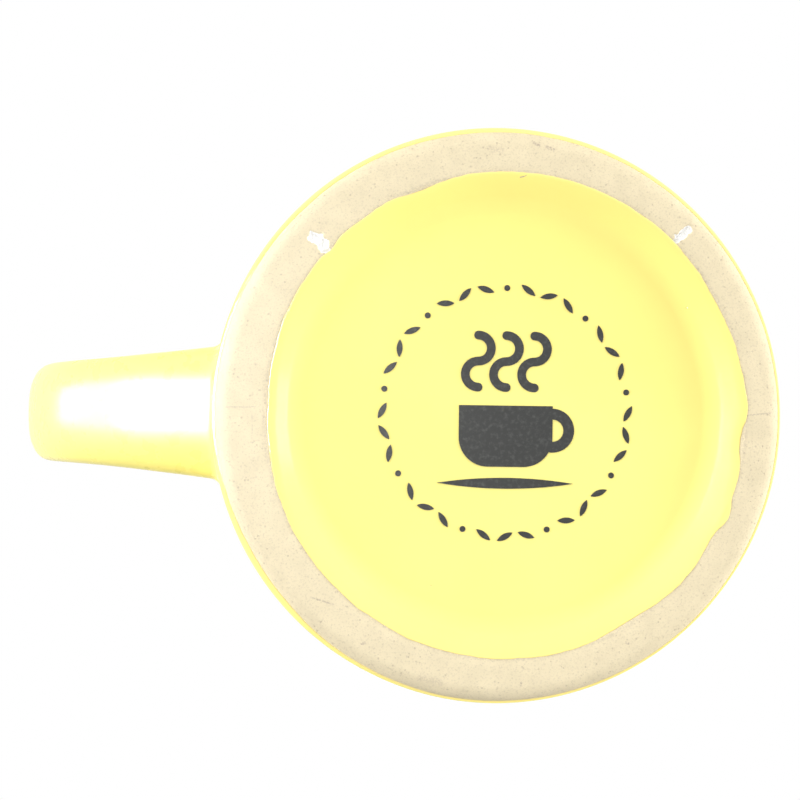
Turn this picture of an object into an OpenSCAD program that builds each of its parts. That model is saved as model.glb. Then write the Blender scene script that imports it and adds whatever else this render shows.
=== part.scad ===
// Glazed stoneware mug with a strap handle.
// The cup stands on its unglazed foot ring: the origin is the middle of the foot ring's
// plane, +Z runs up the cup's axis and the handle stands out along +X.

/* [Cup] */
// Outside diameter of the cup over its glaze
cup_d = 90; // [74:1:110]
// Height from the table to the top of the lip
cup_h = 105; // [85:1:130]
// Thickness of the fired wall under its glaze
wall_t = 4.4; // [3.4:0.1:6]
// Thickness of the floor between the recess and the inside
floor_t = 6; // [4:0.5:9]
// Radius of the hollow corner where the wall meets the floor
inside_corner_r = 11; // [6:1:16]

/* [Foot] */
// Radius of the heel between the wall and the foot ring
heel_r = 2.6; // [1.6:0.1:4]
// Width of the flat ring that the cup stands on
foot_w = 4.2; // [3:0.1:7]
// Height of the recess inside the foot ring
recess_h = 3.4; // [2.2:0.1:5]
// Slope of the recess's side above the table, in degrees
recess_slope = 36; // [28:1:60]
// Radius of the hollow corner between the recess's side and its ceiling
recess_corner_r = 5.7; // [2:0.1:8]

/* [Handle] */
// Distance from the wall to the far side of the handle, over the glaze
handle_reach = 32.6; // [26:0.2:42]
// Distance from the top of the lip down to the handle
lip_gap = 13; // [7:1:22]
// Distance from the table up to the handle
table_gap = 20; // [8:1:28]
// Squareness of the handle's bow: 2 is an ellipse, and more is squarer
bow_power = 2.5; // [2.1:0.1:3]
// Width of the strap at its far side, over the glaze
strap_w = 17.2; // [13:0.2:22]
// Thickness of the strap at its far side, over the glaze
strap_t = 9.6; // [7:0.2:13]
// Width of the strap at its two roots, over the glaze
root_w = 22.4; // [15:0.2:27]
// Thickness of the strap at its two roots, over the glaze
root_t = 11.4; // [8:0.2:15]

/* [Joint] */
// Thickness of the slip between the handle's root and the wall
slip_t = 0.4; // [0.2:0.05:0.5]
// Radius of the bead of slip round each root
bead_r = 1.5; // [1.2:0.1:3]

/* [Glaze] */
// Thickness of the fired glaze
glaze_t = 0.4; // [0.2:0.05:0.6]
// Height of the wiped edge of the glaze above the table, outside the foot ring
heel_line_h = 0.9; // [0.7:0.1:1.5]
// Height of the wiped edge of the glaze above the table, inside the foot ring
recess_line_h = 0.3; // [0.2:0.1:0.8]

/* [Backstamp] */
// Diameter of the circle that the leaves stand on
wreath_d = 39; // [30:1:48]
// Number of leaves and dots round the circle
wreath_count = 36; // [24:4:40]
// Length of one leaf
leaf_l = 2.8; // [2:0.1:3]
// Height of the cup sign in the middle, from its saucer to its steam
sign_h = 24; // [16:1:28]
// Thickness of the fired print
print_t = 0.1; // [0.06:0.02:0.2]

/* [Hidden] */
$fn = 96;

// Cup
biscuit_r = cup_d / 2 - glaze_t;
inside_r = biscuit_r - wall_t;
lip_r = wall_t / 2;
lip_mid_r = biscuit_r - lip_r;
lip_mid_z = cup_h - glaze_t - lip_r;
floor_z = recess_h + floor_t;
heel_mid_r = biscuit_r - heel_r;
recess_rim_r = heel_mid_r - foot_w;
// Height of the recess's straight side, and the radius where its ceiling begins
recess_side_h = recess_h - recess_corner_r * (1 - cos(recess_slope));
recess_flat_r = recess_rim_r - recess_side_h / tan(recess_slope)
    - recess_corner_r * sin(recess_slope);
// How far a cut runs past what it cuts
past = 1;

// Handle: points round a section, how square it is, and how late the roots start to widen
section_points = 28;
section_power = 2.6;
root_growth = 1.8;
bow_steps = 42;
turn_step = 180 / bow_steps;
// Middle of the bow, and the height of each arm's middle from there
bow_mid_z = (cup_h - lip_gap + table_gap) / 2;
arm_z = (cup_h - lip_gap - table_gap - root_t) / 2;
bow_start_x = biscuit_r + slip_t;
bow_reach = cup_d / 2 + handle_reach - strap_t / 2 - bow_start_x;
// The bead's hollow curve in degrees from the wall, and its height off the wall
bead_step = 30;
bead_last = 60;
bead_top = bead_r * (1 - cos(bead_last));

// Colours
stoneware = "#efe3c6";
glaze = "#fff3a0";
slip = "#e6d6b2";
charcoal = "#33332f";

// ---- Profiles of the cup, drawn with the radius across and the height up ----

// Outside of the cup with its cavity filled, grown by a coat
module filled_cup_outline(coat) {
    translate([0, heel_r]) square([biscuit_r + coat, lip_mid_z - heel_r]);
    translate([0, -coat]) square([heel_mid_r, heel_r + coat]);
    translate([heel_mid_r, heel_r]) circle(heel_r + coat);
}

// Inside of the cup, shrunk by a coat
module cavity_outline(coat) {
    corner_z = floor_z + inside_corner_r;
    corner_mid_r = inside_r - inside_corner_r;
    translate([0, corner_z]) square([inside_r - coat, cup_h]);
    translate([0, floor_z + coat]) square([corner_mid_r, inside_corner_r]);
    translate([corner_mid_r, corner_z]) circle(inside_corner_r - coat);
}

// Recess under the cup, shrunk by a coat: a ceiling, a hollow corner and a sloping side
module recess_outline(coat) {
    corner_z = recess_h - recess_corner_r;
    corner = recess_corner_r - coat;
    mouth_r = recess_rim_r - coat / sin(recess_slope) + past / tan(recess_slope);
    translate([recess_flat_r, corner_z]) circle(corner);
    polygon([
        [0, -past],
        [mouth_r, -past],
        [recess_flat_r + corner * sin(recess_slope), corner_z + corner * cos(recess_slope)],
        [recess_flat_r, recess_h - coat],
        [0, recess_h - coat]
    ]);
}

// Half of the coat over the rounded lip: side 1 is outside, and side -1 is inside
module lip_coat_outline(side) {
    intersection() {
        translate([lip_mid_r, lip_mid_z]) difference() {
            circle(lip_r + glaze_t);
            circle(lip_r);
        }
        translate([lip_mid_r - (side < 0 ? wall_t : 0), lip_mid_z]) square(wall_t);
    }
}

// ---- Sections of the handle ----

function signed_power(v, p) = sign(v) * pow(abs(v), p);
function unit(v) = v / norm(v);

// Middle of the strap: turn 0 is the upper root, 90 the far side and 180 the lower root
function bow_x(turn) = bow_start_x + bow_reach * pow(sin(turn), 2 / bow_power);
function bow_z(turn) = bow_mid_z + arm_z * signed_power(cos(turn), 2 / bow_power);
function bow_way(turn) =
    unit([bow_x(turn + 1) - bow_x(turn - 1), bow_z(turn + 1) - bow_z(turn - 1)]);

// How far a place on the bow is from the far side: 0 there, and 1 at a root
function root_share(turn) = pow(1 - pow(sin(turn), 2 / bow_power), root_growth);
function half_w(turn) = (strap_w + (root_w - strap_w) * root_share(turn)) / 2 - glaze_t;
function half_t(turn) = (strap_t + (root_t - strap_t) * root_share(turn)) / 2 - glaze_t;

// Across and out positions of a section's points, grown by a coat
function section(turn, coat) = [
    for (k = [0 : section_points - 1])
        let (a = 360 * k / section_points)
        [(half_w(turn) + coat) * signed_power(cos(a), 2 / section_power),
         (half_t(turn) + coat) * signed_power(sin(a), 2 / section_power)]
];

// Ring of the strap, square to the bow
function strap_ring(turn, coat) =
    let (way = bow_way(turn))
    [for (p = section(turn, coat))
        [bow_x(turn) - p[1] * way[1], p[0], bow_z(turn) + p[1] * way[0]]];

// Ring round a root, a distance off the wall and following its curve: end 1 is the upper
function root_ring(end, coat, off) = [
    for (p = section(0, coat))
        [sqrt(pow(biscuit_r + off, 2) - p[0] * p[0]), p[0],
         bow_mid_z + end * (arm_z + p[1])]
];

// Hollow bead of slip round a root, thickened by a coat, up to an angle round its curve
function bead_rings(end, coat, last) = [
    for (a = [0 : bead_step : last])
        root_ring(end, bead_r - (bead_r - coat) * sin(a), bead_r - (bead_r - coat) * cos(a))
];

function strap_rings(coat) = [
    for (i = [1 : bow_steps - 1]) strap_ring(i * turn_step, coat)
];

function reversed(list) = [for (i = [len(list) - 1 : -1 : 0]) list[i]];

// Faces between neighbouring rings of the same number of points
function band_faces(rings, points) = [
    for (i = rings, k = [0 : points - 1])
        let (a = i[0] * points, b = i[1] * points, m = (k + 1) % points)
        each [[a + k, b + k, b + m], [a + k, b + m, a + m]]
];

// Cap of upright strips over a ring, which follow the wall's curve
function cap_faces(first, points) = [
    [first, first + 1, first + points - 1],
    for (k = [1 : points / 2 - 2])
        each [[first + k, first + k + 1, first + points - k - 1],
              [first + k, first + points - k - 1, first + points - k]],
    [first + points / 2 - 1, first + points / 2, first + points / 2 + 1]
];

function flipped(faces) = [for (f = faces) [f[2], f[1], f[0]]];

// Solid through a list of rings, capped at both ends
module capped_loft(rings) {
    n = len(rings);
    p = len(rings[0]);
    pairs = [for (i = [0 : n - 2]) [i, i + 1]];
    polyhedron(
        [for (r = rings) each r],
        concat(band_faces(pairs, p), cap_faces(0, p), flipped(cap_faces((n - 1) * p, p)))
    );
}

// Solid through a list of rings whose last one joins the first
module looped_loft(rings) {
    n = len(rings);
    p = len(rings[0]);
    pairs = [for (i = [0 : n - 1]) [i, (i + 1) % n]];
    polyhedron([for (r = rings) each r], band_faces(pairs, p));
}

// Block along +X over the footprint of a root and its bead
module root_footprint(end) {
    outline = [for (p = section(0, bead_r)) [p[0], bow_mid_z + end * (arm_z + p[1])]];
    translate([lip_mid_r - wall_t, 0, 0]) rotate([90, 0, 90])
        linear_extrude(2 * wall_t + bead_r) polygon(outline);
}

// ---- Pieces ----

// Fired stoneware cup: wall, floor, foot ring and recess
module cup_body() {
    color(stoneware) rotate_extrude() {
        difference() {
            filled_cup_outline(0);
            cavity_outline(0);
            recess_outline(0);
        }
        translate([lip_mid_r, lip_mid_z]) circle(lip_r);
    }
}

// Strap handle, cast by itself, with ends hollowed to the wall's curve
module handle() {
    color(stoneware) capped_loft(concat(
        [root_ring(1, 0, slip_t), root_ring(1, 0, bead_top)],
        strap_rings(0),
        [root_ring(-1, 0, bead_top), root_ring(-1, 0, slip_t)]
    ));
}

// Slip that sticks one root to the wall: a layer under the root and a bead round it
module slip_joint(end) {
    rings = concat(
        bead_rings(end, 0, bead_last),
        [root_ring(end, 0, bead_top), root_ring(end, 0, slip_t)]
    );
    color(slip) capped_loft(end > 0 ? rings : reversed(rings));
}

module upper_slip_joint() {
    slip_joint(1);
}

module lower_slip_joint() {
    slip_joint(-1);
}

// Glaze from the middle of the lip down the wall to its wiped edge on the heel
module outer_glaze() {
    color(glaze) difference() {
        rotate_extrude() {
            intersection() {
                difference() {
                    filled_cup_outline(glaze_t);
                    filled_cup_outline(0);
                }
                translate([heel_mid_r, heel_line_h]) square([cup_d, lip_mid_z - heel_line_h]);
            }
            lip_coat_outline(1);
        }
        root_footprint(1);
        root_footprint(-1);
    }
}

// Glaze from the middle of the lip down the inside and over the floor
module liner_glaze() {
    color(glaze) rotate_extrude() {
        intersection() {
            difference() {
                cavity_outline(0);
                cavity_outline(glaze_t);
            }
            square([inside_r, lip_mid_z]);
        }
        lip_coat_outline(-1);
    }
}

// Glaze in the recess, down to the foot ring's inner edge
module base_glaze() {
    color(glaze) rotate_extrude() intersection() {
        difference() {
            recess_outline(0);
            recess_outline(glaze_t);
        }
        translate([0, recess_line_h]) square([recess_rim_r, recess_h]);
    }
}

// Glaze over the handle and over the beads at its roots
module handle_glaze() {
    inner = concat(
        bead_rings(1, 0, bead_last),
        [root_ring(1, 0, bead_top)],
        strap_rings(0),
        [root_ring(-1, 0, bead_top)],
        reversed(bead_rings(-1, 0, bead_last))
    );
    outer = concat(
        bead_rings(1, glaze_t, 90),
        strap_rings(glaze_t),
        reversed(bead_rings(-1, glaze_t, 90))
    );
    color(glaze) looped_loft(concat(outer, reversed(inner)));
}

// Pointed oval: the overlap of two discs
module lens_outline(length, width) {
    disc_r = (length * length + width * width) / (4 * width);
    off = disc_r - width / 2;
    intersection() {
        translate([0, off]) circle(disc_r);
        translate([0, -off]) circle(disc_r);
    }
}

// Circle of leaves with a dot at every fourth place
module wreath_outline() {
    dot_every = 4;
    leaf_tilt = 28;
    for (i = [0 : wreath_count - 1]) rotate(i * 360 / wreath_count) translate([0, wreath_d / 2]) {
        if (i % dot_every == 0) circle(leaf_l / 6);
        else rotate(i % 2 == 0 ? leaf_tilt : -leaf_tilt) lens_outline(leaf_l, leaf_l / 3);
    }
}

// Wisp of steam: two half rings, one above the other and facing opposite ways
module wisp_outline(height, line_w) {
    bend_r = height / 4;
    for (side = [-1, 1]) translate([0, side * bend_r]) {
        intersection() {
            difference() {
                circle(bend_r + line_w / 2);
                circle(bend_r - line_w / 2);
            }
            translate([side < 0 ? -height : 0, -height / 2]) square(height);
        }
        translate([0, side * bend_r]) circle(line_w / 2);
    }
}

// Sign of a cup on its saucer with three wisps of steam, centred on its height
module cup_sign_outline(height) {
    line_w = height / 14;
    bowl_w = height * 0.62;
    bowl_h = height * 0.4;
    foot_r = bowl_h * 0.48;
    loop_r = bowl_h * 0.36;
    bowl_z = -height / 2 + 2 * line_w;
    translate([0, -height / 2 + line_w / 2]) lens_outline(height * 0.9, line_w);
    translate([-bowl_w / 2, bowl_z + foot_r]) square([bowl_w, bowl_h - foot_r]);
    translate([foot_r - bowl_w / 2, bowl_z]) square([bowl_w - 2 * foot_r, bowl_h]);
    for (side = [-1, 1]) translate([side * (bowl_w / 2 - foot_r), bowl_z + foot_r]) circle(foot_r);
    translate([bowl_w / 2, bowl_z + bowl_h * 0.6]) difference() {
        circle(loop_r);
        circle(loop_r - line_w);
        translate([-height - line_w / 2, -height / 2]) square(height);
    }
    for (i = [-1 : 1]) translate([i * bowl_w * 0.3, bowl_z + bowl_h * 1.72])
        wisp_outline(bowl_h * 0.85, line_w * 0.8);
}

// Plain mark printed on the recess's glaze: a wreath round a cup sign, read from below
module backstamp() {
    color(charcoal) translate([0, 0, recess_h - glaze_t]) rotate([0, 180, 0])
        linear_extrude(print_t) {
            wreath_outline();
            cup_sign_outline(sign_h);
        }
}

cup_body();
handle();
upper_slip_joint();
lower_slip_joint();
outer_glaze();
liner_glaze();
base_glaze();
handle_glaze();
backstamp();
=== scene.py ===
"""Straight stoneware mug with a strap handle: clay, glaze coats, print and studio.

The mug stands on its foot ring at the origin, +Z runs up its axis and the handle stands out
along +X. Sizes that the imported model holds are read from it, and the others are properties.
"""

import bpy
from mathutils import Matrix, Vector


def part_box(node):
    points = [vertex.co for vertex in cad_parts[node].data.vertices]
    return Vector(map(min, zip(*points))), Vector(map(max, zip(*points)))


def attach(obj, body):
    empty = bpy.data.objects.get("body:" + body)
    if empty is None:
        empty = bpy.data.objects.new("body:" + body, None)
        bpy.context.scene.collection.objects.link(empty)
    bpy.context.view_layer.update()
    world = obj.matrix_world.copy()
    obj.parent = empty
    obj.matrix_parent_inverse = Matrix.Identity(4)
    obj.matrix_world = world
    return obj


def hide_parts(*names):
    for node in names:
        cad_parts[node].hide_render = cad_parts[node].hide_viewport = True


bl_info = {
    "name": "Glazed Stoneware Mug",
    "version": (1, 0, 0),
    "blender": (4, 5, 0),
    "location": "3D View > Sidebar > Mug",
    "description": "Builds the clay, the glaze coats and the studio of a straight mug",
    "category": "Add Mesh",
}

import functools
import math

import bmesh
import bpy
from bpy.props import FloatProperty, FloatVectorProperty, IntProperty, PointerProperty
from mathutils import Matrix, Vector, noise

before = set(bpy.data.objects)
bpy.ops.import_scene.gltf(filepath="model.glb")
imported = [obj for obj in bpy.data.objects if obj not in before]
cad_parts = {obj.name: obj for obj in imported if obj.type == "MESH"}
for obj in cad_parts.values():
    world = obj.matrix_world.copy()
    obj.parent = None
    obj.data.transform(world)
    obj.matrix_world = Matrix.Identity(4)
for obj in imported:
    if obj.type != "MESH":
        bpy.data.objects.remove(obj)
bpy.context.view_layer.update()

MM = 0.001


# ---- Properties ----

def length(label, what, millimetres):
    return FloatProperty(name=label, description=what, default=millimetres * MM,
                         unit="LENGTH", precision=5)


def colour(label, what, red, green, blue):
    return FloatVectorProperty(name=label, description=what, default=(red, green, blue),
                               size=3, subtype="COLOR", min=0, max=1)


class MugSizes(bpy.types.PropertyGroup):
    """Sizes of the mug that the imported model's boxes don't give."""

    heel_radius: length("Heel radius", "Radius between the wall and the foot ring", 2.6)
    foot_width: length("Foot ring width", "Width of the ring that the mug stands on", 4.2)
    ring_crown: length("Ring crown", "Rise of the foot ring towards its inner edge", 0.22)
    recess_corner: length("Recess corner", "Hollow radius round the recess's ceiling", 5.7)
    recess_shift: length("Recess shift", "Distance of the recess from the axis along X", -0.95)
    print_rise: length("Print rise", "Distance of the print from the axis along Y", 0.4)
    inside_corner: length("Inside corner", "Radius where the wall meets the floor", 11)
    strap_width: length("Strap width", "Width of the handle at its far side", 17.2)
    strap_thickness: length("Strap thickness", "Thickness of the handle's far side", 9.6)
    root_width: length("Root width", "Width of the handle where it meets the wall", 22.4)
    root_thickness: length("Root thickness", "Thickness of the handle at the wall", 11.4)
    bead_radius: length("Bead radius", "Hollow radius round the handle's roots", 1.5)
    edge_ripple: length("Edge ripple", "How far the glaze's wiped edges wander", 0.14)
    recess_slope: FloatProperty(name="Recess slope", description="Slope of the recess's side",
                                default=math.radians(34), subtype="ANGLE")
    bow_power: FloatProperty(name="Bow squareness", default=2.5, min=2, max=4,
                             description="Shape of the handle's bow: 2 is an ellipse")
    turns: IntProperty(name="Turns", description="Faces round the cup", default=720, min=90)


class MugColours(bpy.types.PropertyGroup):
    """Colours of the clay, the glaze and the print."""

    clay: colour("Clay", "Fired stoneware, bare and sanded", 0.73, 0.635, 0.435)
    clay_fresh: colour("Fresh clay", "Stoneware inside a chip", 0.99, 0.985, 0.965)
    clay_stain: colour("Clay stain", "Brown specks and smudges on the clay", 0.40, 0.33, 0.26)
    slip: colour("Slip", "Fired slip at the handle's roots", 0.74, 0.60, 0.40)
    glaze: colour("Glaze", "Yellow glaze where it is thick", 0.97, 0.86, 0.25)
    glaze_thin: colour("Thin glaze", "Yellow glaze near its wiped edges", 0.93, 0.76, 0.27)
    # Painted shade: darker, more orange glaze colour that the recess gets towards +Y and -X
    glaze_painted_shade: colour("Deep glaze", "Yellow glaze where it pooled", 0.93, 0.77, 0.21)
    print_ink: colour("Print", "Charcoal print under the glaze", 0.028, 0.029, 0.027)


class MugStudio(bpy.types.PropertyGroup):
    """Where the camera stands, and how bright the studio is."""

    camera_place: FloatVectorProperty(name="Camera", description="Place of the camera",
                                      default=(0.045, -0.0040, -0.265), subtype="XYZ")
    camera_aim: FloatVectorProperty(name="Aim", description="Point that the camera looks at",
                                    default=(0.0161, 0.0020, 0.0), subtype="XYZ")
    camera_roll: FloatProperty(name="Roll", description="Turn of the camera about its view",
                               default=math.radians(0.7), subtype="ANGLE")
    lens: FloatProperty(name="Lens", description="Focal length in millimetres", default=77.9)
    room: FloatProperty(name="Room light", description="Brightness of the white room",
                        default=0.87)
    room_shade: FloatProperty(name="Room shade", default=0.75, min=0, max=1,
                              description="How much darker the room is towards -Y")
    floor: colour("Floor", "Colour of the floor", 0.86, 0.86, 0.855)


# ---- Shader graphs ----

class Signal:
    """A shader value. Python's operators on it add Math nodes."""

    def __init__(self, graph, socket):
        self.graph = graph
        self.socket = socket

    def math(self, operation, first, second=0.0):
        return self.graph.node("ShaderNodeMath", {"operation": operation},
                               {0: first, 1: second})

    def __add__(self, other):
        return self.math("ADD", self, other)

    def __radd__(self, other):
        return self.math("ADD", other, self)

    def __sub__(self, other):
        return self.math("SUBTRACT", self, other)

    def __rsub__(self, other):
        return self.math("SUBTRACT", other, self)

    def __mul__(self, other):
        return self.math("MULTIPLY", self, other)

    def __rmul__(self, other):
        return self.math("MULTIPLY", other, self)

    def __pow__(self, other):
        return self.math("POWER", self, other)

    def __abs__(self):
        return self.math("ABSOLUTE", self)


class Graph:
    """The nodes of a material or a world."""

    def __init__(self, owner):
        owner.use_nodes = True
        self.owner = owner
        self.tree = owner.node_tree
        self.tree.nodes.clear()

    def node(self, kind, settings=None, inputs=None, output=0):
        """Adds a node, sets it, fills its sockets and returns one output as a Signal."""
        made = self.tree.nodes.new(kind)
        for name, value in (settings or {}).items():
            setattr(made, name, value)
        for key, value in (inputs or {}).items():
            if isinstance(value, Signal):
                self.tree.links.new(value.socket, made.inputs[key])
            else:
                made.inputs[key].default_value = value
        return Signal(self, made.outputs[output]) if made.outputs else made

    def place(self):
        """The piece's own coordinates, in metres."""
        return self.node("ShaderNodeTexCoord", output="Object")

    def split(self, vector):
        """The three numbers of a vector."""
        parts = self.node("ShaderNodeSeparateXYZ", inputs={"Vector": vector}, output="X")
        return [Signal(self, parts.socket.node.outputs[axis]) for axis in "XYZ"]

    def attribute(self, name):
        """Number that a piece's vertices hold under a name."""
        return self.node("ShaderNodeAttribute", {"attribute_name": name}, output="Fac")

    def noise(self, vector, size, detail=2.0, roughness=0.5):
        """Cloudy pattern from 0 to 1 whose lumps are about size metres across."""
        return self.node("ShaderNodeTexNoise", {"noise_dimensions": "3D"},
                         {"Vector": vector, "Scale": 1 / size, "Detail": detail,
                          "Roughness": roughness}, output="Fac")

    def dots(self, vector, size):
        """Distance to scattered points that are about size metres apart, in that size."""
        return self.node("ShaderNodeTexVoronoi", {"feature": "F1"},
                         {"Vector": vector, "Scale": 1 / size, "Randomness": 1.0},
                         output="Distance")

    def step(self, value, start, end):
        """0 where value is at start and 1 where it is at end, smoothly."""
        return self.node("ShaderNodeMapRange", {"interpolation_type": "SMOOTHSTEP"},
                         {"Value": value, "From Min": start, "From Max": end}, output="Result")

    def mix(self, share, first, second):
        """Colour from first to second as share goes from 0 to 1."""
        opaque = [v if isinstance(v, Signal) else (*v, 1) for v in (first, second)]
        return self.node("ShaderNodeMix", {"data_type": "RGBA"},
                         {0: share, 6: opaque[0], 7: opaque[1]}, output=2)

    def strokes(self, place, marks):
        """Sum of thin marks on the underside. Each has its start and end along X and Y and
        its half width, in millimetres, and its strength."""
        x, y, _ = self.split(place)
        total = 0.0
        for start, end, half_width, strength in marks:
            middle = (Vector(start) + Vector(end)) * (MM / 2)
            way = (Vector(end) - Vector(start)).normalized()
            half_length = ((Vector(end) - Vector(start)).length / 2 + half_width) * MM
            along = abs((x - middle.x) * way.x + (y - middle.y) * way.y)
            across = abs((y - middle.y) * way.x - (x - middle.x) * way.y)
            ends = 1 - self.step(along, 0.6 * half_length, half_length)
            sides = 1 - self.step(across, 0.2 * half_width * MM, half_width * MM)
            total = ends * sides * strength + total
        return total

    def bump(self, height, distance, under=None):
        """Normal that height from 0 to 1 raises by a distance, over the bumps under it."""
        inputs = {"Height": height, "Distance": distance, "Strength": 1.0}
        if under is not None:
            inputs["Normal"] = under
        return self.node("ShaderNodeBump", inputs=inputs)

    def surface(self, shade, roughness, normal, specular=0.5):
        """Ends the material in a Principled shader."""
        shader = self.node("ShaderNodeBsdfPrincipled", inputs={
            "Base Color": shade, "Roughness": roughness, "Normal": normal,
            "Specular IOR Level": specular})
        self.node("ShaderNodeOutputMaterial", inputs={"Surface": shader})
        return self.owner


def glaze_material(name, colours, rough=0.13, painted_shade_share=0.0, marks=()):
    """Glossy yellow glaze: a little thinner and browner at its edges, with a soft ripple.
    Towards +Y and -X its colour is painted darker and more orange by a share: painted shade."""
    graph = Graph(bpy.data.materials.new(name))
    place = graph.place()
    thin = graph.attribute("thin")
    cloud = graph.noise(place, 14 * MM, 3)
    body = graph.mix(graph.step(cloud, 0.3, 0.7), tuple(colours.glaze),
                     tuple(0.965 * v for v in colours.glaze))
    x, y, _ = graph.split(place)
    # Painted shade: the glaze's colour darkens towards +Y and -X, by the share given
    darkens_as_painted_shade = graph.step(y - x * 0.6 + cloud * (20 * MM), 12 * MM, 52 * MM) * painted_shade_share
    painted_shade_tinted = graph.mix(darkens_as_painted_shade, body, tuple(colours.glaze_painted_shade))
    edged = graph.mix(graph.step(thin, 0.25, 0.95), painted_shade_tinted, tuple(colours.glaze_thin))
    pin = 1 - graph.step(graph.dots(place, 6.5 * MM), 0.012, 0.03)
    speck = pin * graph.step(graph.noise(place, 21 * MM), 0.52, 0.6)
    marked = speck * 0.3 + graph.strokes(place, marks)
    freckled = graph.mix(marked, edged, tuple(colours.clay_stain))
    ripple = graph.bump(graph.noise(place, 5.5 * MM, 1), 0.035 * MM)
    peel = graph.bump(graph.noise(place, 0.9 * MM, 2), 0.0022 * MM, ripple)
    pitted = graph.bump(1 - speck, 0.05 * MM, peel)
    uneven = rough + 0.08 * graph.noise(place, 3 * MM, 4)
    return graph.surface(freckled, uneven, pitted)


def clay_pattern(graph, colours, base):
    """Coordinates, colour and normal of fired clay: its grain, grog, specks and pores."""
    place = graph.place()
    grain = graph.noise(place, 0.33 * MM, 3, 0.7)
    cloud = graph.noise(place, 3.5 * MM, 4, 0.6)
    toned = graph.mix(graph.step(cloud, 0.3, 0.72), base, tuple(0.93 * v for v in base))
    grained = graph.mix(graph.step(grain, 0.5, 0.8), toned, tuple(0.72 * v for v in base))
    fine = 1 - graph.step(graph.dots(place, 0.55 * MM), 0.16, 0.34)
    dusted = graph.mix(fine * 0.16, grained, tuple(colours.clay_stain))
    grog = 1 - graph.step(graph.dots(place, 0.8 * MM), 0.12, 0.26)
    dark = grog * graph.step(graph.noise(place, 1.3 * MM, 2), 0.46, 0.6)
    specked = graph.mix(dark * 0.4, dusted, tuple(colours.clay_stain))
    rough_skin = graph.bump(grain, 0.05 * MM)
    pores = graph.bump(1 - dark, 0.05 * MM, rough_skin)
    return place, specked, pores


# Marks on the underside: start and end along X and Y and half width, in millimetres, and
# strength. The first list holds the ends of the mould's seam, and the last is in the glaze.
SEAMS = [
    ((43.2, 0.55), (37.6, 0.65), 0.16, 0.55),
    ((-38.0, 0.25), (-43.2, 0.85), 0.2, 0.6),
]
SCRATCHES = [
    ((38.8, -0.2), (38.7, -3.7), 0.12, 0.5),
    ((29.6, -28.3), (25.7, -29.5), 0.2, 0.7),
    ((-4.5, 42.4), (-5.2, 42.0), 0.34, 0.9),
    ((-6.5, 41.8), (-7.5, 41.4), 0.4, 0.85),
    ((21.5, -35.4), (21.1, -35.3), 0.3, 0.9),
    ((-3.3, -41.4), (-3.2, -41.9), 0.22, 0.8),
    ((-19.8, -35.3), (-20.1, -35.4), 0.28, 0.8),
    ((12.4, -40.6), (9.4, -41.4), 0.9, 0.3),
    ((2.4, 41.3), (0.7, 41.0), 0.7, 0.35),
]
TICK = [
    ((-2.4, 37.0), (-2.8, 37.1), 0.16, 0.8),
    ((-2.9, 37.1), (-3.3, 37.3), 0.12, 0.7),
]


def clay_material(name, colours, cup):
    """Bare stoneware of the cup: two mould seams, a grey wiped edge, scratches and chips."""
    graph = Graph(bpy.data.materials.new(name))
    place, skin, normal = clay_pattern(graph, colours, tuple(colours.clay))
    x, y, _ = graph.split(place)
    flecks = graph.step(graph.noise(place, 0.3 * MM, 2, 0.6), 0.36, 0.6)
    from_middle = x - cup.shift
    off = (from_middle * from_middle + y * y) ** 0.5
    wiped = 1 - graph.step(off, cup.rim_r + 0.1 * MM, cup.rim_r + 0.6 * MM)
    marks = graph.strokes(place, SEAMS + SCRATCHES) + wiped * 0.3
    marked = graph.mix(marks * flecks, skin, tuple(colours.clay_stain))
    chip = graph.attribute("chip")
    crumb = graph.noise(place, 0.45 * MM, 3, 0.7)
    broken = graph.mix(graph.step(crumb, 0.63, 0.72), tuple(colours.clay_fresh),
                       tuple(0.5 * v for v in colours.clay_fresh))
    chipped = graph.mix(graph.step(chip, 0.25, 0.5), marked, broken)
    crumbled = graph.bump(crumb * chip, 0.15 * MM, normal)
    return graph.surface(chipped, 0.82, crumbled, 0.2)


def slip_material(name, colours, base):
    """Clay that the glaze hides: the handle and the slip at its roots."""
    graph = Graph(bpy.data.materials.new(name))
    _, skin, normal = clay_pattern(graph, colours, tuple(base))
    return graph.surface(skin, 0.85, normal)


def print_material(name, colours):
    """Charcoal print fired on the glaze, a little thinner in places."""
    graph = Graph(bpy.data.materials.new(name))
    place = graph.place()
    ink = tuple(colours.print_ink)
    wear = graph.step(graph.noise(place, 0.7 * MM, 4, 0.65), 0.45, 0.85)
    shade = graph.mix(wear, ink, tuple(2.6 * v for v in ink))
    rough = 0.3 + 0.25 * graph.noise(place, 0.4 * MM, 3)
    lift = graph.bump(graph.noise(place, 0.5 * MM, 3), 0.004 * MM)
    return graph.surface(shade, rough, lift)


# ---- Shapes ----

def blend_share(value, start, end):
    """0 at start and 1 at end, smoothly."""
    share = min(1, max(0, (value - start) / (end - start)))
    return share * share * (3 - 2 * share)


def around(degrees, middle, reach):
    """1 at an angle round the axis, falling to 0 at reach degrees from it."""
    away = abs((degrees - middle + 180) % 360 - 180)
    return 1 - blend_share(away, 0, reach)


def turned_point(angle, r, z):
    """Point at an angle round the axis, a radius from it and a height."""
    return Vector((r * math.cos(angle), r * math.sin(angle), z))


def arc(middle, radius, start, end, steps):
    """Points (radius, height) on an arc, with angles in degrees from outwards, upwards."""
    turns = [math.radians(start + (end - start) * k / steps) for k in range(steps + 1)]
    return [(middle[0] + radius * math.cos(t), middle[1] + radius * math.sin(t)) for t in turns]


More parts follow.
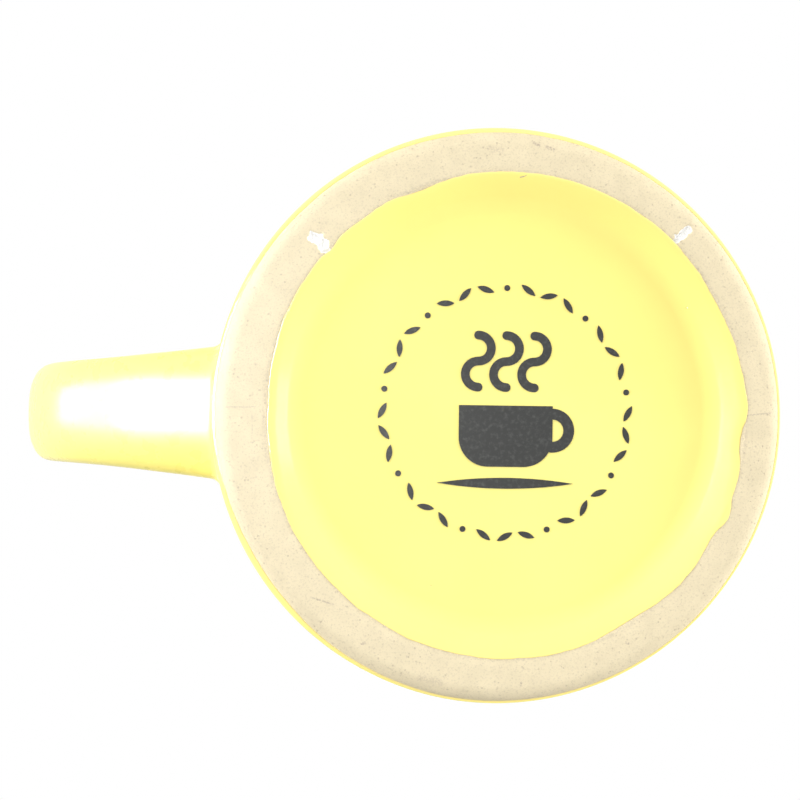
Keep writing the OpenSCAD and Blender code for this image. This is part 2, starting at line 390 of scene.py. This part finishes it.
def turned(cells, steps, attribute, place):
    """Grid bent round Z: place(vertex, layer, index, angle) moves each vertex to where the
    outline's point of that index, from 0 to cells, is at an angle. layer is the attribute's."""
    bm = bmesh.new()
    layer = bm.verts.layers.float.new(attribute)
    bmesh.ops.create_grid(bm, x_segments=cells, y_segments=steps, size=0.5)
    for vert in bm.verts:
        index = round((vert.co.x + 0.5) * cells)
        step = round((vert.co.y + 0.5) * steps) % steps
        place(vert, layer, index, math.tau * step / steps)
    return bm


def closed_up(bm):
    """Merges a shape's doubles, drops what has no face and turns its faces outwards."""
    same_place = 0.5e-6
    sharp = math.radians(50)
    bmesh.ops.remove_doubles(bm, verts=bm.verts, dist=same_place)
    loose = [e for e in bm.edges if not e.link_faces]
    bmesh.ops.delete(bm, geom=loose, context="EDGES")
    bmesh.ops.recalc_face_normals(bm, faces=bm.faces)
    if any(len(e.link_faces) != 2 for e in bm.edges):
        raise RuntimeError("a piece isn't closed")
    if bm.calc_volume(signed=True) < 0:
        raise RuntimeError("a piece is inside out")
    for face in bm.faces:
        face.smooth = True
    for edge in bm.edges:
        edge.smooth = edge.calc_face_angle() < sharp


def coat(stations, steps, place, thin):
    """Thin shell: stations on its outer side and back on the clay's side, turned round.
    place() gives a point from an angle, a station and a side: 0 on the clay, 1 outside."""
    strip = [(1, s) for s in stations] + [(0, s) for s in reversed(stations)]

    def put(vert, layer, index, angle):
        side, station = strip[index % len(strip)]
        vert.co = place(angle, station, side)
        vert[layer] = thin(angle, station)

    bm = turned(len(strip), steps, "thin", put)
    closed_up(bm)
    return bm


def add_piece(bm, name, material, slot, *nodes):
    """Makes a piece that rides with the mug, in place of these CAD nodes. slot is not used."""
    mesh = bpy.data.meshes.new(name)
    bm.to_mesh(mesh)
    bm.free()
    mesh.materials.append(material)
    piece = bpy.data.objects.new(name, mesh)
    bpy.context.scene.collection.objects.link(piece)
    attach(piece, "root")
    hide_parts(*nodes)
    return piece


class Cup:
    """Outline of the clay cup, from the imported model's boxes and from the sizes."""

    def __init__(self, sizes):
        self.r = -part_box("cup_body")[0].x
        self.coat = -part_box("outer_glaze")[0].x - self.r
        self.dip = 0.03 * MM
        self.lip_mid_r = -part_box("liner_glaze")[0].x
        self.lip_r = self.r - self.lip_mid_r
        self.lip_mid_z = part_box("cup_body")[1].z - self.lip_r
        self.inside_r = self.lip_mid_r - self.lip_r
        self.floor_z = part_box("liner_glaze")[0].z
        self.corner_in = sizes.inside_corner
        self.recess_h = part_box("base_glaze")[1].z
        self.heel_r = sizes.heel_radius
        self.heel_mid_r = self.r - self.heel_r
        self.rim_r = self.heel_mid_r - sizes.foot_width
        self.ring_mid_r = self.heel_mid_r - sizes.foot_width / 2
        self.crown = sizes.ring_crown
        self.slope = math.tan(sizes.recess_slope)
        self.corner_r = sizes.recess_corner
        drop = self.corner_r * (1 - math.cos(sizes.recess_slope))
        self.slope_r = self.rim_r - (self.recess_h - drop - self.crown) / self.slope
        self.flat_r = self.slope_r - self.corner_r * math.sin(sizes.recess_slope)
        self.shift = sizes.recess_shift
        self.ripple = sizes.edge_ripple

    def recess_z(self, r):
        """Height of the clay under the cup at a radius, out to the ring's middle."""
        if r < self.flat_r:
            return self.recess_h
        if r < self.slope_r:
            fall = math.sqrt(self.corner_r ** 2 - (r - self.flat_r) ** 2)
            return self.recess_h - self.corner_r + fall
        if r < self.rim_r:
            return self.crown + (self.rim_r - r) * self.slope
        return self.crown * max(0, (self.ring_mid_r - r) / (self.ring_mid_r - self.rim_r)) ** 2

    def recess_steps(self):
        """Radii across the recess, close together where it bends."""
        flat, bend = 6, 16
        ceiling = [self.flat_r * k / flat for k in range(flat)]
        corner = [self.flat_r + (self.slope_r - self.flat_r) * k / bend for k in range(bend)]
        return ceiling + corner

    def coat_depth(self, share):
        """Depth of a glaze coat, whose edge rounds off and dips into the clay as share goes
        from 0 to 1."""
        short = max(0, share)
        return (self.coat + self.dip) * math.sqrt(max(0, 1 - short * short)) - self.dip

    def shifted(self, angle, r, z):
        """Point of the underside. The recess's middle is off the axis and the heel's isn't,
        so the shift fades out across the foot ring."""
        unshifted_r = self.ring_mid_r + 1.2 * MM
        share = 1 - blend_share(r, self.rim_r, unshifted_r)
        return turned_point(angle, r, z) + Vector((self.shift * share, 0, 0))


# Chips in the foot ring: place along X and Y, direction in degrees, half length, half width
# and depth. Lengths are in millimetres.
CHIPS = [
    ((29.3, 26.7), 20, 1.45, 1.1, 0.5),
    ((28.2, 25.6), 60, 1.45, 1.0, 0.55),
    ((-28.2, 28.6), 136, 2.2, 0.78, 0.45),
]


def chip_at(point):
    """How far into a chip a point of the foot ring is, from 0 to 1, and the chip's depth."""
    crumb_size = 0.7 * MM
    best = (0.0, 0.0)
    for middle, direction, half_length, half_width, depth in CHIPS:
        away = Vector((point.x / MM - middle[0], point.y / MM - middle[1]))
        if away.length > 2 * half_length:
            continue
        turn = math.radians(direction)
        along = away.x * math.cos(turn) + away.y * math.sin(turn)
        across = away.y * math.cos(turn) - away.x * math.sin(turn)
        ragged = 0.45 * noise.noise(Vector((point.x, point.y, 0)) / crumb_size)
        inside = 1 - blend_share(math.hypot(along / half_length, across / half_width) + ragged,
                                 0.7, 1.05)
        if inside > best[0]:
            best = (inside, depth * MM)
    return best


def clay_outline(cup):
    """Outline of the clay from the middle of the recess round to the middle of the floor."""
    slope_steps = 8
    ring_steps = 22
    slope = [cup.slope_r + (cup.rim_r - cup.slope_r) * k / slope_steps
             for k in range(slope_steps)]
    ring = [cup.rim_r + (cup.heel_mid_r - cup.rim_r) * k / ring_steps
            for k in range(ring_steps)]
    under = [(r, cup.recess_z(r)) for r in cup.recess_steps() + slope + ring]
    corner = (cup.inside_r - cup.corner_in, cup.floor_z + cup.corner_in)
    return (under
            + arc((cup.heel_mid_r, cup.heel_r), cup.heel_r, -90, 0, 14)
            + arc((cup.lip_mid_r, cup.lip_mid_z), cup.lip_r, 0, 180, 12)
            + arc(corner, cup.corner_in, 0, -90, 10)
            + [(0, cup.floor_z)])


class MUG_OT_clay_cup(bpy.types.Operator):
    """Cup of fired stoneware, with the bare foot ring and its chips"""

    bl_idname = "mug.clay_cup"
    bl_label = "Clay cup"

    def execute(self, context):
        sizes = context.scene.mug_sizes
        cup = Cup(sizes)
        outline = clay_outline(cup)

        def put(vert, _, index, angle):
            r, z = outline[index]
            underneath = z < (cup.recess_h + cup.floor_z) / 2
            vert.co = cup.shifted(angle, r, z) if underneath else turned_point(angle, r, z)

        bm = turned(len(outline) - 1, sizes.turns, "chip", put)
        closed_up(bm)
        self.break_chips(bm, cup)
        clay = clay_material("stoneware", context.scene.mug_colours, cup)
        add_piece(bm, "clay_cup", clay, "stoneware", "cup_body")
        return {"FINISHED"}

    @staticmethod
    def break_chips(bm, cup):
        """Cuts finer faces where the ring is chipped, and sinks them."""
        layer = bm.verts.layers.float["chip"]
        low = cup.recess_h * 0.7
        crumb_size = 0.35 * MM

        def near(vert):
            reaches = [(Vector((x, y)) * MM - vert.co.xy).length < 1.5 * half * MM
                       for (x, y), _, half, _, _ in CHIPS]
            return vert.co.z < low and any(reaches)

        edges = [e for e in bm.edges if all(near(v) for v in e.verts)]
        bmesh.ops.subdivide_edges(bm, edges=edges, cuts=2, use_grid_fill=True)
        bmesh.ops.triangulate(bm, faces=[f for f in bm.faces if len(f.verts) > 4])
        for vert in bm.verts:
            if vert.co.z < low:
                inside, depth = chip_at(vert.co)
                vert[layer] = inside
                crumbs = 1 + 0.5 * noise.noise(vert.co / crumb_size)
                vert.co.z += inside * depth * crumbs
        for face in bm.faces:
            face.smooth = True


class MUG_OT_recess_glaze(bpy.types.Operator):
    """Pool of glaze in the recess, out to its wiped edge on the foot ring"""

    bl_idname = "mug.recess_glaze"
    bl_label = "Recess glaze"

    # Places round the edge: angle, reach in degrees and how far the edge moves out, in mm
    LOBES = [(177, 6, 0.4), (186, 8, -0.6), (204, 5, 0.7), (212, 6, -0.25), (240, 16, -0.45),
             (0, 26, -0.45), (69, 12, -0.5), (149, 20, -0.3), (42, 3.5, -0.35)]

    def execute(self, context):
        sizes = context.scene.mug_sizes
        cup = Cup(sizes)
        usual = cup.rim_r + 0.05 * MM
        lobe_reach = 5 * MM
        rounding = 1.5 * MM
        off_table = 0.02 * MM
        probe = 1e-5

        @functools.cache
        def edge(angle):
            degrees = math.degrees(angle)
            lobes = sum(move * around(degrees, middle, reach)
                        for middle, reach, move in self.LOBES)
            spot = Vector((math.cos(angle), math.sin(angle), 0))
            ripple = noise.noise(9 * spot) + 0.5 * noise.noise(31 * spot)
            return usual + lobes * MM + cup.ripple * ripple

        def moved(angle, station):
            share = blend_share(station, usual - lobe_reach, usual)
            return station + (edge(angle) - usual) * share

        def depth(angle, r):
            return cup.coat_depth((r - edge(angle) + rounding) / rounding)

        def place(angle, station, side):
            r = moved(angle, station)
            thick = depth(angle, r) if side else -cup.dip
            lean = (cup.recess_z(r - probe) - cup.recess_z(r + probe)) / (2 * probe)
            z = cup.recess_z(r) - thick * math.hypot(1, lean)
            return cup.shifted(angle, r, max(z, off_table))

        def thin(angle, station):
            return 1 - depth(angle, moved(angle, station)) / cup.coat

        span = usual - cup.slope_r
        steps = 22
        side = [cup.slope_r + span * math.sin(math.pi / 2 * k / steps) for k in range(steps + 1)]
        bm = coat(cup.recess_steps() + side, sizes.turns, place, thin)
        # The recess's glaze gets painted shade towards +Y and -X
        pool = glaze_material("glaze_recess", context.scene.mug_colours, painted_shade_share=0.85, marks=TICK)
        add_piece(bm, "recess_glaze", pool, "yellow_glaze", "base_glaze")
        return {"FINISHED"}


class MUG_OT_outside_glaze(bpy.types.Operator):
    """Glaze down the outside, from the lip's top to its wiped edge on the heel"""

    bl_idname = "mug.outside_glaze"
    bl_label = "Outside glaze"

    # Height of the wiped edge round the heel: angle in degrees and millimetres
    LINE = [(0, 1.5), (45, 1.0), (90, 0.75), (135, 0.8), (180, 1.5), (225, 2.1), (270, 2.3),
            (300, 1.2), (325, 0.65), (360, 1.5)]

    def execute(self, context):
        sizes = context.scene.mug_sizes
        cup = Cup(sizes)
        rounding = 0.5
        lowest = 0.3 * MM
        lip, wall, heel = 10, 52, 22

        @functools.cache
        def edge(angle):
            """Angle down the heel's curve of the wiped edge."""
            degrees = math.degrees(angle) % 360
            pairs = zip(self.LINE, self.LINE[1:])
            start, end = next(p for p in pairs if p[0][0] <= degrees <= p[1][0])
            share = blend_share(degrees, start[0], end[0])
            spot = Vector((math.cos(angle), math.sin(angle), 2))
            ripple = noise.noise(8 * spot) + 0.4 * noise.noise(27 * spot)
            z = (start[1] + (end[1] - start[1]) * share) * MM + cup.ripple * ripple
            return math.asin((cup.heel_r - max(z, lowest)) / (cup.heel_r + cup.coat))

        def depth(station):
            return cup.coat_depth((station - 3 + rounding) / rounding)

        def place(angle, station, side):
            """Stations: 0 to 1 over the lip, 1 to 2 down the wall, 2 to 3 round the heel."""
            thick = depth(station) if side else -cup.dip
            if station <= 1:
                turn = math.radians(90 * (1 - station))
                r = cup.lip_mid_r + (cup.lip_r + thick) * math.cos(turn)
                z = cup.lip_mid_z + (cup.lip_r + thick) * math.sin(turn)
            elif station <= 2:
                r = cup.r + thick
                z = cup.lip_mid_z + (cup.heel_r - cup.lip_mid_z) * (station - 1)
            else:
                turn = -edge(angle) * (station - 2)
                r = cup.heel_mid_r + (cup.heel_r + thick) * math.cos(turn)
                z = cup.heel_r + (cup.heel_r + thick) * math.sin(turn)
            return turned_point(angle, r, z)

        stations = ([k / lip for k in range(lip)] + [1 + k / wall for k in range(wall)]
                    + [2 + math.sin(math.pi / 2 * k / heel) for k in range(heel + 1)])
        bm = coat(stations, sizes.turns // 2, place,
                  lambda angle, station: 1 - depth(station) / cup.coat)
        add_piece(bm, "outside_glaze", glaze_material("glaze_outside", context.scene.mug_colours),
                  "yellow_glaze", "outer_glaze")
        return {"FINISHED"}


class MUG_OT_inside_glaze(bpy.types.Operator):
    """Glaze inside, from the lip's top down the wall and over the floor"""

    bl_idname = "mug.inside_glaze"
    bl_label = "Inside glaze"

    def execute(self, context):
        sizes = context.scene.mug_sizes
        cup = Cup(sizes)
        corner_mid = (cup.inside_r - cup.corner_in, cup.floor_z + cup.corner_in)
        lip, wall, bend, floor = 10, 30, 16, 8

        def place(angle, station, side):
            """Stations: 0 to 1 over the lip, 1 to 2 down the wall, 2 to 3 round the corner,
            3 to 4 across the floor."""
            thick = cup.coat * side
            if station <= 1:
                turn = math.radians(90 + 90 * station)
                r = cup.lip_mid_r + (cup.lip_r + thick) * math.cos(turn)
                z = cup.lip_mid_z + (cup.lip_r + thick) * math.sin(turn)
            elif station <= 2:
                r = cup.inside_r - thick
                z = cup.lip_mid_z + (corner_mid[1] - cup.lip_mid_z) * (station - 1)
            elif station <= 3:
                turn = math.radians(-90 * (station - 2))
                r = corner_mid[0] + (cup.corner_in - thick) * math.cos(turn)
                z = corner_mid[1] + (cup.corner_in - thick) * math.sin(turn)
            else:
                r = corner_mid[0] * (4 - station)
                z = cup.floor_z + thick
            return turned_point(angle, r, z)

        stations = ([k / lip for k in range(lip)] + [1 + k / wall for k in range(wall)]
                    + [2 + k / bend for k in range(bend)]
                    + [3 + k / floor for k in range(floor + 1)])
        bm = coat(stations, sizes.turns // 2, place, lambda angle, station: 0.0)
        add_piece(bm, "inside_glaze", glaze_material("glaze_inside", context.scene.mug_colours),
                  "yellow_glaze", "liner_glaze")
        return {"FINISHED"}


def signed_power(value, power):
    """Power of a number's size, with the number's sign."""
    return math.copysign(abs(value) ** power, value)


class MUG_OT_handle_glaze(bpy.types.Operator):
    """Glaze over the strap handle and the beads of slip at its roots"""

    bl_idname = "mug.handle_glaze"
    bl_label = "Handle glaze"

    # Squareness of the strap's section, and how quickly its roots widen towards the wall
    SECTION_POWER = 2.6
    ROOT_GROWTH = 1.8

    def execute(self, context):
        sizes = context.scene.mug_sizes
        cup = Cup(sizes)
        bead = sizes.bead_radius
        hollow_reach = 11 * MM
        bead_reach = 2 * MM
        probe = 0.01
        roots = [sum(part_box(n), Vector()).z / 2 for n in ("upper_slip_joint", "lower_slip_joint")]
        mid_z = sum(roots) / 2
        arm_z = (roots[0] - roots[1]) / 2
        start_x = cup.r + cup.coat
        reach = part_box("handle_glaze")[1].x - sizes.strap_thickness / 2 - start_x

        def bow(turn):
            share = 2 / sizes.bow_power
            return Vector((start_x + reach * math.sin(turn) ** share, 0,
                           mid_z + arm_z * signed_power(math.cos(turn), share)))

        def half_sizes(out, thick):
            """Half width and half thickness of the strap, out from the wall by a share."""
            root = (1 - out) ** self.ROOT_GROWTH
            width = sizes.strap_width + (sizes.root_width - sizes.strap_width) * root
            depth = sizes.strap_thickness + (sizes.root_thickness - sizes.strap_thickness) * root
            return width / 2 - cup.coat + thick, depth / 2 - cup.coat + thick

        def section(angle, half_w, half_t):
            power = 2 / self.SECTION_POWER
            return (half_w * signed_power(math.cos(angle), power),
                    half_t * signed_power(math.sin(angle), power))

        def by_the_wall(angle, end, off, grow):
            """Point of a root's ring, a distance off the clay wall and following it."""
            out = max(0, (off - cup.coat) / reach)
            y, rise = section(angle, *(v + grow for v in half_sizes(out, 0)))
            x = math.sqrt((cup.r + off) ** 2 - y * y)
            return Vector((x, y, mid_z + end * arm_z + rise * end))

        def on_bow(angle, turn, thick):
            """Point of the strap's ring, square to the bow."""
            middle = bow(turn)
            way = (bow(min(turn + probe, math.pi)) - bow(max(turn - probe, 0))).normalized()
            out = (middle.x - start_x) / reach
            y, rise = section(angle, *half_sizes(out, thick))
            flat = cup.r + bead - math.sqrt((cup.r + bead) ** 2 - y * y)
            hollow = flat * (1 - blend_share(middle.x - start_x, 0, hollow_reach))
            return middle + Vector((-rise * way.z - hollow, y, rise * way.x))

        first_turn = math.asin((bead_reach / reach) ** (sizes.bow_power / 2))

        def place(angle, station, side):
            """Stations: 0 to 1 up the upper bead, 1 to 2 round the bow, 2 to 3 down again."""
            thick = cup.coat * side
            if 1 < station < 2:
                turn = first_turn + (math.pi - 2 * first_turn) * (station - 1)
                return on_bow(angle, turn, thick)
            end = 1 if station <= 1 else -1
            curve = math.radians(90 * (station if end > 0 else 3 - station))
            grow = bead - (bead - thick) * math.sin(curve)
            off = bead - (bead - thick) * math.cos(curve)
            return by_the_wall(angle, end, off, grow)

        bend, round_bow, round_strap = 8, 120, 96
        stations = ([k / bend for k in range(bend + 1)]
                    + [1 + (k + 0.5) / round_bow for k in range(round_bow)]
                    + [2 + k / bend for k in range(bend + 1)])
        bm = coat(stations, round_strap, place, lambda angle, station: 0.0)
        glaze = glaze_material("glaze_strap", context.scene.mug_colours, rough=0.24)
        add_piece(bm, "strap_glaze", glaze, "yellow_glaze", "handle_glaze")
        return {"FINISHED"}


class MUG_OT_base_print(bpy.types.Operator):
    """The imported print, moved to the middle of the recess"""

    bl_idname = "mug.base_print"
    bl_label = "Base print"

    def execute(self, context):
        sizes = context.scene.mug_sizes
        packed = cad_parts["backstamp"]
        bm = bmesh.new()
        bm.from_mesh(packed.data)
        bm.transform(packed.matrix_world)
        offset = (sizes.recess_shift, sizes.print_rise, 0)
        bmesh.ops.translate(bm, verts=bm.verts, vec=offset)
        add_piece(bm, "base_print", print_material("print", context.scene.mug_colours),
                  "stamp_print", "backstamp")
        return {"FINISHED"}


class MUG_OT_packed_finishes(bpy.types.Operator):
    """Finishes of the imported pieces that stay: the handle's clay and its slip"""

    bl_idname = "mug.packed_finishes"
    bl_label = "Packed pieces' finishes"

    def execute(self, context):
        colours = context.scene.mug_colours
        slip = slip_material("slip", colours, colours.slip)
        finishes = {
            "handle": slip_material("handle_stoneware", colours, colours.clay),
            "upper_slip_joint": slip,
            "lower_slip_joint": slip,
        }
        for node, material in finishes.items():
            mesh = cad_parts[node].data
            mesh.materials.clear()
            mesh.materials.append(material)
        return {"FINISHED"}


class MUG_OT_studio(bpy.types.Operator):
    """Pale floor, soft lights and the camera that looks up at the base"""

    bl_idname = "mug.studio"
    bl_label = "Studio"

    # Lamps: name, place, point lit, width, height, power in watts and what they give. A matte
    # lamp isn't seen in reflections, and a gloss lamp is seen only there.
    LAMPS = [
        ("handle_side", (1.0, 0.0, -0.3), (0, 0, 0.03), 0.8, 0.5, 9, "matte"),
        ("far_side", (-1.0, 0.0, -0.2), (0, 0, 0), 0.6, 0.3, 10, "matte"),
        ("upper_side", (0.1, 1.0, -0.3), (0, 0, 0), 0.9, 0.4, 4, "matte"),
        ("overhead", (-0.5, -0.6, 1.3), (0, 0, 0.05), 1.0, 1.0, 6, "both"),
        ("arm_gleam", (0.0725, 0.01, -0.032), (0.015, 0.01, 0.05), 0.04, 0.067, 0.36, "gloss"),
        ("bow_gleam", (0.1625, 0.01, 0.0305), (0.105, 0.01, 0.112), 0.04, 0.153, 0.34, "gloss"),
        ("recess_gleam", (-0.94, 0.05, -0.34), (0.035, 0, 0), 0.3, 0.08, 0.5, "gloss"),
    ]

    def execute(self, context):
        studio = context.scene.mug_studio
        self.add_floor(studio)
        for lamp in self.LAMPS:
            self.add_lamp(context, *lamp)
        self.light_room(context, studio)
        self.add_camera(context, studio)
        context.scene.view_settings.view_transform = "Standard"
        return {"FINISHED"}

    @staticmethod
    def add_floor(studio):
        """Floor whose upper side alone shows, so that the base can be seen from under it."""
        radius = 2.5
        below_mug = 0.3 * MM
        bm = bmesh.new()
        bmesh.ops.create_circle(bm, cap_ends=True, segments=96, radius=radius)
        bmesh.ops.translate(bm, verts=bm.verts, vec=(0, 0, -below_mug))
        mesh = bpy.data.meshes.new("floor")
        bm.to_mesh(mesh)
        bm.free()
        graph = Graph(bpy.data.materials.new("floor"))
        cloud = graph.noise(graph.place(), 60 * MM)
        shade = graph.mix(cloud, tuple(studio.floor), tuple(0.99 * v for v in studio.floor))
        paint = graph.node("ShaderNodeBsdfPrincipled", inputs={"Base Color": shade,
                                                              "Roughness": 0.7})
        back = graph.node("ShaderNodeNewGeometry", output="Backfacing")
        clear = graph.node("ShaderNodeBsdfTransparent")
        both = graph.node("ShaderNodeMixShader", inputs={0: back, 1: paint, 2: clear})
        graph.node("ShaderNodeOutputMaterial", inputs={"Surface": both})
        mesh.materials.append(graph.owner)
        floor = bpy.data.objects.new("floor", mesh)
        bpy.context.scene.collection.objects.link(floor)
        floor.visible_diffuse = False
        floor.visible_glossy = False
        floor.visible_shadow = False

    @staticmethod
    def add_lamp(context, name, place, target, width, height, watts, gives):
        lamp = bpy.data.lights.new(name, "AREA")
        lamp.shape = "RECTANGLE"
        lamp.size = width
        lamp.size_y = height
        lamp.energy = watts
        holder = bpy.data.objects.new(name, lamp)
        holder.location = place
        way = Vector(target) - Vector(place)
        holder.rotation_euler = way.to_track_quat("-Z", "Y").to_euler()
        holder.visible_camera = False
        holder.visible_diffuse = gives != "gloss"
        holder.visible_glossy = gives != "matte"
        context.scene.collection.objects.link(holder)

    @staticmethod
    def light_room(context, studio):
        """Room that the camera sees as plain white. It lights the mug evenly, but less from
        -Y, unless from below."""
        graph = Graph(bpy.data.worlds.new("room"))
        way = graph.node("ShaderNodeTexCoord", output="Generated")
        _, y, z = graph.split(way)
        dim = graph.step(y, -0.25, -0.95) * graph.step(z, -0.6, 0.0)
        strength = studio.room * (1 - studio.room_shade * dim)
        seen = graph.node("ShaderNodeLightPath", output="Is Camera Ray")
        shown = graph.node("ShaderNodeBackground", inputs={"Color": (1, 1, 1, 1)})
        lit = graph.node("ShaderNodeBackground", inputs={"Color": (1, 1, 1, 1),
                                                         "Strength": strength})
        both = graph.node("ShaderNodeMixShader", inputs={0: seen, 1: lit, 2: shown})
        graph.node("ShaderNodeOutputWorld", inputs={"Surface": both})
        context.scene.world = graph.owner

    @staticmethod
    def add_camera(context, studio):
        camera = bpy.data.cameras.new("camera")
        camera.lens = studio.lens
        camera.sensor_width = 36
        camera.clip_start = 0.01
        eye = Vector(studio.camera_place)
        ahead = (Vector(studio.camera_aim) - eye).normalized()
        right = ahead.cross(Vector((0, 1, 0))).normalized()
        turn = Matrix((right, right.cross(ahead), -ahead)).transposed()
        holder = bpy.data.objects.new("camera", camera)
        roll = Matrix.Rotation(studio.camera_roll, 4, "Z")
        holder.matrix_world = Matrix.Translation(eye) @ turn.to_4x4() @ roll
        context.scene.collection.objects.link(holder)
        context.scene.camera = holder


class MUG_PT_sidebar(bpy.types.Panel):
    """Sizes, colours and the buttons that build each piece"""

    bl_idname = "MUG_PT_sidebar"
    bl_label = "Stoneware mug"
    bl_space_type = "VIEW_3D"
    bl_region_type = "UI"
    bl_category = "Mug"

    def draw(self, context):
        for operator in OPERATORS:
            self.layout.operator(operator.bl_idname)
        for group in (context.scene.mug_sizes, context.scene.mug_colours,
                      context.scene.mug_studio):
            column = self.layout.column()
            for name in group.__annotations__:
                column.prop(group, name)


GROUPS = {"mug_sizes": MugSizes, "mug_colours": MugColours, "mug_studio": MugStudio}
OPERATORS = (MUG_OT_clay_cup, MUG_OT_recess_glaze, MUG_OT_outside_glaze, MUG_OT_inside_glaze,
             MUG_OT_handle_glaze, MUG_OT_base_print, MUG_OT_packed_finishes, MUG_OT_studio)


def register():
    for item in (*GROUPS.values(), *OPERATORS, MUG_PT_sidebar):
        bpy.utils.register_class(item)
    for name, group in GROUPS.items():
        setattr(bpy.types.Scene, name, PointerProperty(type=group))


def unregister():
    for name in GROUPS:
        delattr(bpy.types.Scene, name)
    for item in (MUG_PT_sidebar, *reversed(OPERATORS), *GROUPS.values()):
        bpy.utils.unregister_class(item)


def main():
    register()
    for operator in OPERATORS:
        group, name = operator.bl_idname.split(".")
        getattr(getattr(bpy.ops, group), name)()


if __name__ == "__main__":
    main()
